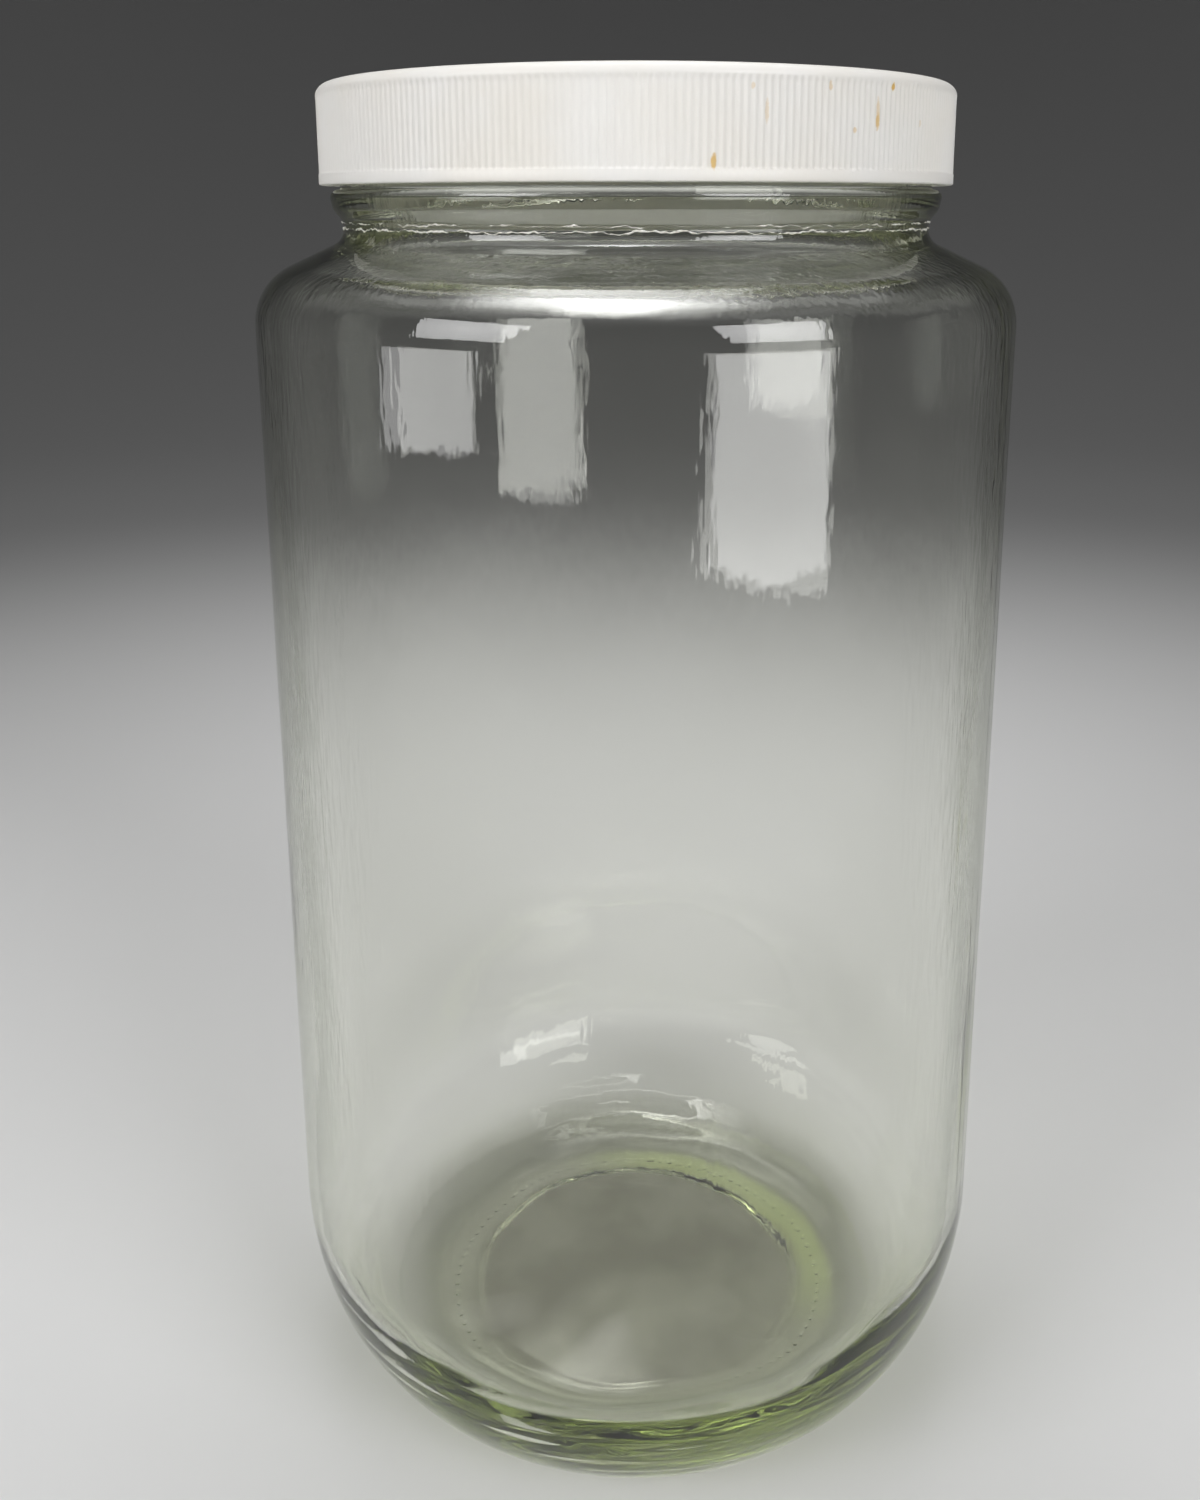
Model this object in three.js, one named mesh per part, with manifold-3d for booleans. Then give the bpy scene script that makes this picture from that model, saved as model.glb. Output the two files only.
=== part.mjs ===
// A one-gallon wide-mouth glass storage jar with a ribbed screw lid and the liner that seals it.
// Millimetres, +Z up. The origin is on the jar's axis, on the surface that the jar stands on.

import * as THREE from "three";
import { mergeVertices } from "three/addons/utils/BufferGeometryUtils.js";
import Module from "manifold-3d";

const wasm = await Module();
wasm.setup();

// Glass body: the wall, the base and the height to the sealing rim
const JAR_HEIGHT = 272.6;
const BODY_WALL = 3.2;
const BASE_THICKNESS = 6.5;
const PUSH_UP = 4;
const FOOT_WIDTH = 5;
const HEEL_REACH = 30.9;
const HEEL_HEIGHT = 43;

// Shoulder and neck: the waist is the narrow groove between the shoulder and the bead
const SHOULDER_WIDTH = 19.6;
const SHOULDER_SLOPE = THREE.MathUtils.degToRad(24.6);
const SHOULDER_RADIUS = 12.2;
const NECK_DIAMETER = 116;
const NECK_WALL = 4.5;
const WAIST_DEPTH = 2.3;
const WAIST_DROP = 4.8;
const WAIST_RADIUS = 3.4;
const BEAD_DEPTH = 2.3;
const BEAD_HEIGHT = 3.65;
const BEAD_TAPER = 0.8;
const BEAD_RADIUS = 1.5;
const BEAD_UNDER_RADIUS = 2;
const RIM_RADIUS = 1.2;

// Screw thread: a right-hand ridge on the neck, and its partner inside the lid
const THREAD_PITCH = 5.08;
const THREAD_TURNS = 1.15;
const THREAD_DEPTH = 1.5;
const THREAD_WIDTH = 2.4;
const THREAD_CREST = 1.1;
const THREAD_TOP = 3.2;
const THREAD_RUN_OUT = THREE.MathUtils.degToRad(24);
const LID_THREAD_WIDTH = 2;
const LID_THREAD_CREST = 0.9;
const THREAD_CLEARANCE = 0.45;
const RIDGE_ROOT = 0.6;

// Lid: the skirt's wall, the finger ribs and the raised ring round the top panel
const SKIRT_WALL = 1.45;
const SKIRT_MARGIN = 3;
const SKIRT_GAP = 0.8;
const LID_TOP = 1.5;
const LID_EDGE_RADIUS = 2.4;
const PANEL_MARGIN = 9;
const PANEL_RECESS = 0.4;
const RIB_COUNT = 294;
const RIB_DEPTH = 0.35;
const RIB_RELIEF = 0.1;
const RIB_BAND = 2.2;
const RIB_TOP_MARGIN = 0.4;

// Liner: a loose disc between the lid's top and the jar's rim
const LINER_THICKNESS = 1;
const LINER_CLEARANCE = 0.35;
const LINER_GAP = 0.15;

// Fineness of the facets
const JAR_SIDES = 64;
const LID_SIDES = 84;
const LINER_SIDES = 64;
const ARC_STEP = THREE.MathUtils.degToRad(30);
const HEEL_STEPS = 6;
const DOME_STEPS = 3;
const THREAD_STEP = THREE.MathUtils.degToRad(7.5);
const CUT_MARGIN = 1;
const MERGE_DISTANCE = 1e-4;

// Radii worked out from the neck, which the lid and the body both follow
const NECK_R = NECK_DIAMETER / 2;
const BORE_R = NECK_R - NECK_WALL;
const WAIST_R = NECK_R - WAIST_DEPTH;
const BEAD_R = NECK_R + BEAD_DEPTH;
const BODY_R = WAIST_R + SHOULDER_WIDTH;
const INSIDE_R = BODY_R - BODY_WALL;
const FOOT_R = BODY_R - HEEL_REACH;
const CREST_R = NECK_R + THREAD_DEPTH;
const SKIRT_INSIDE_R = CREST_R + THREAD_CLEARANCE;
const LID_CREST_R = NECK_R + THREAD_CLEARANCE;
const RIB_VALLEY_R = SKIRT_INSIDE_R + SKIRT_WALL;
const RIB_CREST_R = RIB_VALLEY_R + RIB_DEPTH;
const LID_R = RIB_CREST_R + RIB_RELIEF;
const LINER_R = SKIRT_INSIDE_R - LINER_CLEARANCE;

// Heights below the rim, which the lid's own frame has as its zero
const THREAD_LOW = -THREAD_TOP - THREAD_PITCH * THREAD_TURNS;
const LID_THREAD_LOW = THREAD_LOW - THREAD_PITCH / 2;
const SKIRT_LOW = LID_THREAD_LOW - LID_THREAD_WIDTH / 2 - SKIRT_MARGIN;
const BEAD_TOP = SKIRT_LOW - SKIRT_GAP;
const BEAD_LOW = BEAD_TOP - BEAD_HEIGHT;
const WAIST = BEAD_LOW - WAIST_DROP;
const SHOULDER = WAIST - SHOULDER_WIDTH * Math.tan(SHOULDER_SLOPE);

// Heights above the rim
const LINER_LOW = LINER_GAP;
const LID_CEILING = LINER_LOW + LINER_THICKNESS + LINER_GAP;
const LID_HIGH = LID_CEILING + LID_TOP;

// A profile through corners of [radius, height, rounding], each rounded off by an arc.
function roundedProfile(corners) {
  return corners.flatMap(([r, z, rounding], i) => {
    const corner = new THREE.Vector2(r, z);
    if (!rounding) return [corner];
    const before = new THREE.Vector2(...corners[i - 1]).sub(corner).normalize();
    const after = new THREE.Vector2(...corners[i + 1]).sub(corner).normalize();
    const half = Math.acos(THREE.MathUtils.clamp(before.dot(after), -1, 1)) / 2;
    const middle = before.clone().add(after).normalize();
    const centre = corner.clone().addScaledVector(middle, rounding / Math.sin(half));
    const turn = Math.PI - 2 * half;
    const side = Math.sign(before.cross(after));
    const first = Math.atan2(-middle.y, -middle.x) + (side * turn) / 2;
    const steps = Math.max(2, Math.ceil(turn / ARC_STEP));
    return Array.from({ length: steps + 1 }, (_, k) => {
      const angle = first - (side * turn * k) / steps;
      return new THREE.Vector2(Math.cos(angle), Math.sin(angle)).multiplyScalar(rounding).add(centre);
    });
  });
}

// A quarter ellipse from the floor at radius rLow up to the wall at radius rHigh.
function heelArc(rLow, zLow, rHigh, zHigh) {
  return Array.from({ length: HEEL_STEPS + 1 }, (_, k) => {
    const angle = (k / HEEL_STEPS) * (Math.PI / 2);
    const r = rLow + (rHigh - rLow) * Math.sin(angle);
    const z = zHigh - (zHigh - zLow) * Math.cos(angle);
    return new THREE.Vector2(r, z);
  });
}

// A shallow dome from its crown on the axis down to its edge, the edge point left out.
function dome(edgeRadius, edgeHeight, rise) {
  return Array.from({ length: DOME_STEPS }, (_, k) => {
    const share = k / DOME_STEPS;
    return new THREE.Vector2(edgeRadius * share, edgeHeight + rise * (1 - share * share));
  });
}

// A profile of (radius, height) points turned round the Z axis.
function turned(profile, sides) {
  return new THREE.LatheGeometry(profile, sides).rotateX(Math.PI / 2);
}

// A closed geometry as a solid for cutting and joining.
function solidOf(geometry) {
  const bare = geometry.clone();
  bare.deleteAttribute("normal");
  bare.deleteAttribute("uv");
  const merged = mergeVertices(bare, MERGE_DISTANCE);
  const corners = Array.from(merged.index.array);
  const triVerts = [];
  for (let i = 0; i < corners.length; i += 3) {
    const [a, b, c] = corners.slice(i, i + 3);
    if (a !== b && b !== c && c !== a) triVerts.push(a, b, c);
  }
  return new wasm.Manifold(
    new wasm.Mesh({
      numProp: 3,
      vertProperties: merged.attributes.position.array,
      triVerts: new Uint32Array(triVerts),
    }),
  );
}

// A solid as a geometry with one normal for each facet.
function geometryOf(solid) {
  const mesh = solid.getMesh();
  const geometry = new THREE.BufferGeometry();
  geometry.setAttribute("position", new THREE.BufferAttribute(mesh.vertProperties, mesh.numProp));
  geometry.setIndex(new THREE.BufferAttribute(mesh.triVerts, 1));
  const faceted = geometry.toNonIndexed();
  faceted.computeVertexNormals();
  return faceted;
}

// A helical ridge that climbs one pitch a turn and fades into its wall at both ends.
// rootR lies inside the wall that carries it, wallR on that wall's face and crestR on the ridge's crest.
function threadRidge({ rootR, wallR, crestR, rootWidth, crestWidth, low, turns }) {
  const sweep = turns * 2 * Math.PI;
  const steps = Math.ceil(sweep / THREAD_STEP);
  const outward = crestR > rootR;
  const buriedR = (rootR + wallR) / 2;
  const rings = Array.from({ length: steps + 1 }, (_, k) => {
    const angle = (sweep * k) / steps;
    const fade = Math.min(1, Math.min(angle, sweep - angle) / THREAD_RUN_OUT);
    const tipR = THREE.MathUtils.lerp(buriedR, crestR, fade);
    const z = low + (THREAD_PITCH * angle) / (2 * Math.PI);
    const section = [
      [rootR, z - rootWidth / 2],
      [tipR, z - crestWidth / 2],
      [tipR, z + crestWidth / 2],
      [rootR, z + rootWidth / 2],
    ];
    if (!outward) section.reverse();
    return section.map(([r, height]) => [r * Math.cos(angle), r * Math.sin(angle), height]);
  });
  const corners = rings[0].length;
  const index = [];
  for (let k = 0; k < steps; k++) {
    for (let c = 0; c < corners; c++) {
      const a = k * corners + c;
      const b = k * corners + ((c + 1) % corners);
      index.push(a, a + corners, b, b, a + corners, b + corners);
    }
  }
  const last = steps * corners;
  index.push(0, 1, 2, 0, 2, 3);
  index.push(last, last + 2, last + 1, last, last + 3, last + 2);
  const geometry = new THREE.BufferGeometry();
  geometry.setAttribute("position", new THREE.Float32BufferAttribute(rings.flat(2), 3));
  geometry.setIndex(index);
  return geometry;
}

// Glass jar: one blown piece with its foot, wall, shoulder, bead, threaded neck and rim.
function glassJar() {
  const steepness = Math.tan(SHOULDER_SLOPE);
  const bend = WAIST + (WAIST_R - BORE_R) * steepness - BODY_WALL / Math.cos(SHOULDER_SLOPE);
  const insideShoulder = bend - (INSIDE_R - BORE_R) * steepness;
  const above = (height) => JAR_HEIGHT + height;
  const wall = roundedProfile([
    [BODY_R, HEEL_HEIGHT, 0],
    [BODY_R, above(SHOULDER), SHOULDER_RADIUS],
    [WAIST_R, above(WAIST), WAIST_RADIUS],
    [BEAD_R - BEAD_TAPER, above(BEAD_LOW), BEAD_UNDER_RADIUS],
    [BEAD_R, above(BEAD_TOP), BEAD_RADIUS],
    [NECK_R, above(BEAD_TOP), 0],
    [NECK_R, above(0), RIM_RADIUS],
    [BORE_R, above(0), RIM_RADIUS],
    [BORE_R, above(bend), WAIST_RADIUS + BODY_WALL],
    [INSIDE_R, above(insideShoulder), SHOULDER_RADIUS - BODY_WALL],
    [INSIDE_R, HEEL_HEIGHT, 0],
  ]).slice(1, -1);
  const profile = [
    ...dome(FOOT_R - FOOT_WIDTH, 0, PUSH_UP),
    new THREE.Vector2(FOOT_R - FOOT_WIDTH, 0),
    ...heelArc(FOOT_R, 0, BODY_R, HEEL_HEIGHT),
    ...wall,
    ...heelArc(FOOT_R, BASE_THICKNESS, INSIDE_R, HEEL_HEIGHT).reverse(),
    ...dome(FOOT_R, BASE_THICKNESS, PUSH_UP).reverse(),
  ];
  const thread = threadRidge({
    rootR: NECK_R - RIDGE_ROOT,
    wallR: NECK_R,
    crestR: CREST_R,
    rootWidth: THREAD_WIDTH,
    crestWidth: THREAD_CREST,
    low: above(THREAD_LOW),
    turns: THREAD_TURNS,
  });
  return geometryOf(solidOf(turned(profile, JAR_SIDES)).add(solidOf(thread)));
}

// A ring that leaves the finger ribs standing when it is cut from the skirt.
function ribCutter(height) {
  const ring = new THREE.Shape().absarc(0, 0, LID_R + CUT_MARGIN, 0, 2 * Math.PI);
  const points = Array.from({ length: 2 * RIB_COUNT }, (_, k) => {
    const r = k % 2 ? RIB_VALLEY_R : RIB_CREST_R;
    const angle = (k * Math.PI) / RIB_COUNT;
    return new THREE.Vector2(r * Math.cos(angle), r * Math.sin(angle));
  });
  ring.holes.push(new THREE.Path(points));
  const sides = Math.round(LID_SIDES / 2);
  return new THREE.ExtrudeGeometry(ring, { depth: height, bevelEnabled: false, curveSegments: sides });
}

// Screw lid: a moulded cap with a ribbed skirt, a plain band at its edge and the inner thread.
function screwLid() {
  const panelR = LID_R - PANEL_MARGIN;
  const shell = [
    new THREE.Vector2(0, LID_CEILING),
    ...roundedProfile([
      [SKIRT_INSIDE_R, LID_CEILING, 0],
      [SKIRT_INSIDE_R, SKIRT_LOW, 0],
      [LID_R, SKIRT_LOW, 0],
      [LID_R, LID_HIGH, LID_EDGE_RADIUS],
      [panelR, LID_HIGH, 0],
      [panelR - PANEL_RECESS, LID_HIGH - PANEL_RECESS, 0],
    ]),
    new THREE.Vector2(0, LID_HIGH - PANEL_RECESS),
  ];
  const ribLow = SKIRT_LOW + RIB_BAND;
  const ribHigh = LID_HIGH - LID_EDGE_RADIUS - RIB_TOP_MARGIN;
  const ribs = ribCutter(ribHigh - ribLow).translate(0, 0, ribLow);
  const thread = threadRidge({
    rootR: SKIRT_INSIDE_R + RIDGE_ROOT,
    wallR: SKIRT_INSIDE_R,
    crestR: LID_CREST_R,
    rootWidth: LID_THREAD_WIDTH,
    crestWidth: LID_THREAD_CREST,
    low: LID_THREAD_LOW,
    turns: THREAD_TURNS,
  });
  return geometryOf(solidOf(turned(shell, LID_SIDES)).subtract(solidOf(ribs)).add(solidOf(thread)));
}

// Liner: a plain round disc.
function linerDisc() {
  const profile = [
    new THREE.Vector2(0, LINER_LOW),
    new THREE.Vector2(LINER_R, LINER_LOW),
    new THREE.Vector2(LINER_R, LINER_LOW + LINER_THICKNESS),
    new THREE.Vector2(0, LINER_LOW + LINER_THICKNESS),
  ];
  return turned(profile, LINER_SIDES);
}

function piece(name, geometry, look) {
  const mesh = new THREE.Mesh(geometry, new THREE.MeshStandardMaterial(look));
  mesh.name = name;
  return mesh;
}

const clearGlass = { color: 0xdfe8dc, roughness: 0.03, metalness: 0, transparent: true, opacity: 0.35 };
const whitePlastic = { color: 0xf5f1e8, roughness: 0.42, metalness: 0 };
const linerFoam = { color: 0xeeede8, roughness: 0.8, metalness: 0 };

const closure = new THREE.Group();
closure.position.z = JAR_HEIGHT;
closure.add(piece("liner", linerDisc(), linerFoam));
closure.add(piece("screw_lid", screwLid(), whitePlastic));

const jar = new THREE.Group();
jar.add(piece("glass_jar", glassJar(), clearGlass));
jar.add(closure);

export default jar;
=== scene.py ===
import math

import bpy
import numpy as np
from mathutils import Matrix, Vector, noise


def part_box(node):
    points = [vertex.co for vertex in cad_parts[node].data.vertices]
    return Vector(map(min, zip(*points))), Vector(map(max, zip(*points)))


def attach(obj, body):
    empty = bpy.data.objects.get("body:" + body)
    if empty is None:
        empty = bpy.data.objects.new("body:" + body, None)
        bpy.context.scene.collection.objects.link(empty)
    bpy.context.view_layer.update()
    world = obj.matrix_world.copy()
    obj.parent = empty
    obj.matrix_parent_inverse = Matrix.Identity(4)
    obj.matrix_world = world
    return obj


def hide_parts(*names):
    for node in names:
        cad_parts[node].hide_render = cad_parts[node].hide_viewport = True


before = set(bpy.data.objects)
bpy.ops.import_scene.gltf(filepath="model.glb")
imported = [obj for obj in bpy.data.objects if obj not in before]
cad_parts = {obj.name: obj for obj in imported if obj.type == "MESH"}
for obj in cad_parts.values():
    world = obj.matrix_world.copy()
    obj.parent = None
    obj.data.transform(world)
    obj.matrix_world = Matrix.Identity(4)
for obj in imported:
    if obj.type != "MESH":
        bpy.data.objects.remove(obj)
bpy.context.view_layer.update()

# The shapes below are worked out in millimetres and made in metres.
MM = 0.001
FULL_TURN = 2 * math.pi

# Two measures that differ by less than this count as the same
SAME = 1e-6

# Photograph: its size, the lens in pixels and the point that the lens looks straight at
PHOTO_WIDTH = 1200
PHOTO_HEIGHT = 1500
FOCAL_PIXELS = 1432
AXIS_PIXEL_X = 636
CENTRE_PIXEL_Y = 550
SENSOR = 36
CAMERA_BACK = 294.9 * MM
CAMERA_HEIGHT = 253.8 * MM
CAMERA_PITCH = math.radians(13.63)
NEAR_CLIP = 10 * MM

# Glass jar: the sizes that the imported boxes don't give
BODY_WALL = 3.2
BASE_THICKNESS = 6.5
PUSH_UP = 4.0
FOOT_WIDTH = 5.0
FOOT_STEP_RISE = 1.6
FOOT_STEP_WIDTH = 5.0
HEEL_REACH = 30.9
HEEL_HEIGHT = 43.0
SHOULDER_WIDTH = 19.6
SHOULDER_SLOPE = math.radians(24.6)
SHOULDER_RADIUS = 12.2
NECK_R = 58.0
NECK_WALL = 4.5
WAIST_DROP = 4.8
WAIST_RADIUS = 3.4
BEAD_DEPTH = 2.3
BEAD_HEIGHT = 3.65
BEAD_TAPER = 0.8
BEAD_RADIUS = 1.5
BEAD_UNDER_RADIUS = 2.0
RIM_RADIUS = 1.2
SKIRT_GAP = 0.8

# Screw thread, the same on the neck and inside the lid
THREAD_PITCH = 5.08
THREAD_TURNS = 1.15
THREAD_DEPTH = 1.5
THREAD_TOP = 3.2
THREAD_WIDTH = 2.4
THREAD_CREST = 1.1
LID_THREAD_WIDTH = 2.0
LID_THREAD_CREST = 0.9
THREAD_RUN_OUT = math.radians(24)
THREAD_CLEARANCE = 0.45

# Marks of the mould: stippled foot ring and two upright seams
STIPPLE_COUNT = 88
STIPPLE_HEIGHT = 0.3
STIPPLE_WIDTH = 1.7
SEAM_ANGLES = (math.radians(-18.5), math.radians(161.5))
SEAM_HEIGHT = 0.05
SEAM_WIDTH = 0.9
SEAM_LINES = 5

# Waves that the blowing leaves in the wall: height, cell size round the jar, cell size up it, seed
OUTER_WAVES = ((0.10, 34, 58, 3.1), (0.016, 9, 6, 8.7))
INNER_WAVES = ((0.38, 30, 70, 15.3), (0.045, 9, 13, 21.9))

# Thick base: its own waves, the laps of glass round it, and how much thicker it is on one side
BASE_WAVE = 0.9
BASE_CELL = 21
BASE_SEED = 33.7
BASE_SHARE = 0.3
LAP_HEIGHT = 0.26
LAP_PITCH = 5.2
LAP_WANDER = 2.2
LAP_INSIDE = 4.0
LAP_OUTSIDE = 8.0
BASE_TILT = 1.2
TILT_ANGLE = math.radians(-55)

# Where the waves die out: above the foot, round the waist and at the axis
CALM_FOOT = (2, 14)
CALM_BELOW_WAIST = 6
CALM_ABOVE_WAIST = 2
CALM_AXIS = 8

# Broken line that the neck ring of the mould leaves at the waist: each strand has a lift and a share of gaps
PARTING_STRANDS = ((1.25, 0.0), (2.3, 0.33))
PARTING_STRAND_SHIFT = 10.0
PARTING_WANDER = 0.5
PARTING_WANDERS = ((0.5, 9, 9, 41.3), (1.0, 2.7, 9, 47.1), (0.6, 0.9, 9, 49.3))
PARTING_THICKNESS = 0.17
PARTING_FULLNESS = 0.55
PARTING_WIDTHS = ((1.4, 4, 9, 53.9), (1.1, 0.8, 9, 59.7))
PARTING_THINNEST = 0.03
PARTING_THICKEST = 1.3
PARTING_STEPS = 900
PARTING_SIDES = 5

# Lid: finger ribs, the plain band below them and the raised ring on top
RIB_COUNT = 294
RIB_SAMPLES = 5
RIB_DEPTH = 0.28
RIB_RELIEF = 0.1
RIB_BAND = 2.2
RIB_TOP_MARGIN = 0.4
RIB_TOP_FADE = 1.3
RIB_LOW_FADE = 0.25
SKIRT_WALL = 1.45
LID_TOP = 1.5
LID_EDGE_RADIUS = 2.4
LID_SMALL_RADIUS = 0.35
PANEL_MARGIN = 9.0
PANEL_RECESS = 0.4

# Brown drips on the lid: angle from the front towards +X, drop below the top, length, width, strength
STAINS = (
    (11.5, 13.8, 2.8, 0.95, 0.8),
    (17.4, 3.0, 1.2, 0.7, 0.3),
    (19.7, 5.4, 4.1, 0.7, 0.3),
    (30.7, 2.4, 1.6, 0.7, 0.4),
    (35.7, 9.5, 1.0, 0.7, 0.45),
    (40.7, 4.6, 5.4, 0.65, 0.4),
    (40.7, 7.0, 3.0, 0.75, 0.6),
    (44.3, 2.0, 1.5, 0.7, 0.9),
    (52.8, 7.7, 1.2, 0.6, 0.2),
)

# Liner: the ring that the rim has pressed into it
LINER_PRESS = 0.12
LINER_PRESS_FLAT = 0.7
LINER_EDGE_RADIUS = 0.3

# Fineness of the meshes
JAR_SIDES = 6 * STIPPLE_COUNT
LINER_SIDES = 180
ARC_STEP = math.radians(6)
SMALL_ARC_STEP = math.radians(22.5)
SMALL_ARC_RADIUS = 0.5
ARC_LEAST_STEPS = 3
WALL_ROW = 5.0
THREAD_ROW = 0.4
FOOT_ROW = 0.25
LINER_ROW = 0.8
LID_THREAD_ROWS = 17
FLAT_GUARD = 0.3
HEEL_STEPS = 26
DOME_STEPS = 16
FOOT_STEPS = 12

# Glass surface: each noise is its scale and its detail, each stretch draws it out along Z, and the heights
# of the relief are in metres
SMEAR_NOISE = (28, 4)
SMEAR_STRETCH = (1, 1, 0.35)
SMEAR_RANGE = (0.52, 0.78)
SMEAR_ROUGHNESS = (0.0, 0.05)
PEEL_NOISE = (750, 1)
PEEL_STRETCH = (1, 1, 0.2)
PEEL_PATCH_NOISE = (38, 1)
PEEL_PATCH_RANGE = (0.35, 0.68)
PEEL_HEIGHTS = (1.4e-5, 4.4e-5)
RIPPLE_NOISE = (210, 2)
RIPPLE_STRETCH = (1, 1, 0.6)
RIPPLE_HEIGHT = 2.4e-5
RELIEF_ZONE = (50, 150)
RELIEF_SHARES = (0.15, 1.0)

# Glass colours: in the mass, in its shadow, and as surface tints, among them painted shade where the glass
# is seen edge-on and painted shade and light on the underside
GLASS_IOR = 1.52
GLASS_MASS = (0.70, 0.77, 0.35, 1)
GLASS_DENSITY = 20.0
GLASS_SHADOW = (0.66, 0.66, 0.65, 1)
CLEAR_TINT = (1, 1, 1, 1)
# Painted shade: the glass is darkened where it is seen edge-on, to give it dark edges
GRAZING_PAINTED_SHADE = (0.33, 0.35, 0.30, 1)
GRAZING_PAINTED_SHADE_RANGE = (0.62, 0.92)
HEEL_TINT = (0.58, 0.58, 0.56, 1)
HEEL_ZONE = (1, 11)
# Painted shade at the heel where it is seen edge-on, olive rather than grey
HEEL_EDGE_PAINTED_SHADE = (0.70, 0.74, 0.57, 1)
HEEL_EDGE_PAINTED_SHADE_ZONE = (8, 34)
HEEL_EDGE_PAINTED_SHADE_RANGE = (0.30, 0.75)
OFF_BASE_ZONE = (-0.5, 4)
# Underside, all painted: shade as a cloudy dark disc inside the foot ring, grey shade on the foot ring, and
# painted light, green, on the ring towards the back right
UNDERSIDE_PAINT_ZONE = (0.1, 0.6)
FOOT_PAINTED_SHADE = (0.66, 0.66, 0.62, 1)
FOOT_PAINTED_LIGHT = (0.90, 1.0, 0.56, 1)
FOOT_PAINTED_LIGHT_RANGE = (0.35, 1.25)
DISC_PAINTED_SHADE = (0.40, 0.385, 0.34, 1)
DISC_PALE_PAINTED_SHADE = (0.58, 0.57, 0.53, 1)
DISC_CLOUD_NOISE = (42, 3)
DISC_CLOUD_RANGE = (0.38, 0.68)
DISC_EDGE_ZONE = (-4, 1)
DISC_EDGE_NOISE = (70, 2)
DISC_EDGE_UNEVEN = 7

# Rough glass of the parting line
ROUGH_GLASS_COLOURS = ((0.72, 0.69, 0.62, 1), (0.93, 0.92, 0.88, 1))
ROUGH_GLASS_NOISE = (1500, 2)
ROUGH_GLASS_RANGE = (0.35, 0.65)
ROUGH_GLASS_ROUGHNESS = 0.5

# Lid plastic, its blotches and its drips
PLASTIC_COLOURS = ((0.885, 0.87, 0.84, 1), (0.87, 0.84, 0.785, 1))
PLASTIC_BLOTCH_NOISE = (45, 5)
PLASTIC_BLOTCH_RANGE = (0.35, 0.75)
PLASTIC_GRAIN_NOISE = (900, 3)
PLASTIC_GRAIN_RANGE = (0.2, 0.8)
PLASTIC_ROUGHNESS = (0.36, 0.48)
PLASTIC_SPECULAR = 0.4
STAIN_COLOUR = (0.68, 0.41, 0.06, 1)
STAIN_RAGGED_NOISE = (1400, 2)
STAIN_RAGGEDNESS = 1.6
STAIN_EDGE = (0.25, 1.35)

# Liner foam
FOAM_COLOURS = ((0.85, 0.84, 0.81, 1), (0.90, 0.895, 0.875, 1))
FOAM_NOISE = (700, 4)
FOAM_RANGE = (0.3, 0.7)
FOAM_ROUGHNESS = 0.85

# Floor and backdrop: the floor is pale round the jar and fades out to the backdrop's grey, a pool of light
# painted into its colour
FLOOR_FIRST_R = 20
FLOOR_R = 1300
COVE_R = 1700
BACKDROP_HEIGHT = 3200
FLOOR_RINGS = 11
COVE_RINGS = 24
STUDIO_SIDES = 96
FLOOR_COLOUR = (0.72, 0.72, 0.72, 1)
BACKDROP_COLOUR = (0.27, 0.27, 0.27, 1)
FLOOR_PAINTED_POOL_ZONE = (300, 1000)
FLOOR_ROUGHNESS = 0.9

# Softboxes in metres: azimuth, distance, height, width, length, radiance, spread in degrees
SOFTBOXES = {
    "back_softbox": (180, 0.42, 1.45, 0.8, 0.8, 2.8, 180),
    "left_softbox": (-50, 1.05, 0.68, 0.6, 0.5, 2.1, 90),
    "right_softbox": (40, 1.05, 0.68, 0.6, 0.5, 2.1, 90),
}
LAMP_AIM = Vector((0, 0, 0.14))

# Lamps overhead that light nothing and are only mirrored, the panels by the jar alone. Values as above.
GLINT = (-12, 0.3, 1.05, 0.5, 0.5, 16, 180)
GLINT_SOFT_EDGE = 0.5
PANELS = {
    "shoulder_panel": (-30, 0.14, 1.05, 1.1, 0.83, 9, 180),
    "base_panel": (200, 0.5, 1.05, 0.6, 0.8, 3.5, 180),
}
PANEL_SOFT_EDGE = 0.4

# Upright cards that are only mirrored: azimuth, distance, low edge, high edge, width, radiance
CARDS = {
    "left_card": (-59, 0.95, 0.06, 0.215, 0.5, 3.4),
    "right_card": (37, 0.75, 0.01, 0.215, 0.46, 4.2),
}
CARD_SPREAD = 180
CARD_SOFT_EDGE = 0.04

# Even light from the open top of the studio
WORLD_COLOUR = (1, 1, 1, 1)
WORLD_STRENGTH = 0.36

# Light is piped round the thick base by many inner reflections
ALL_BOUNCES = 28
GLASS_BOUNCES = 20


# Profiles

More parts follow.
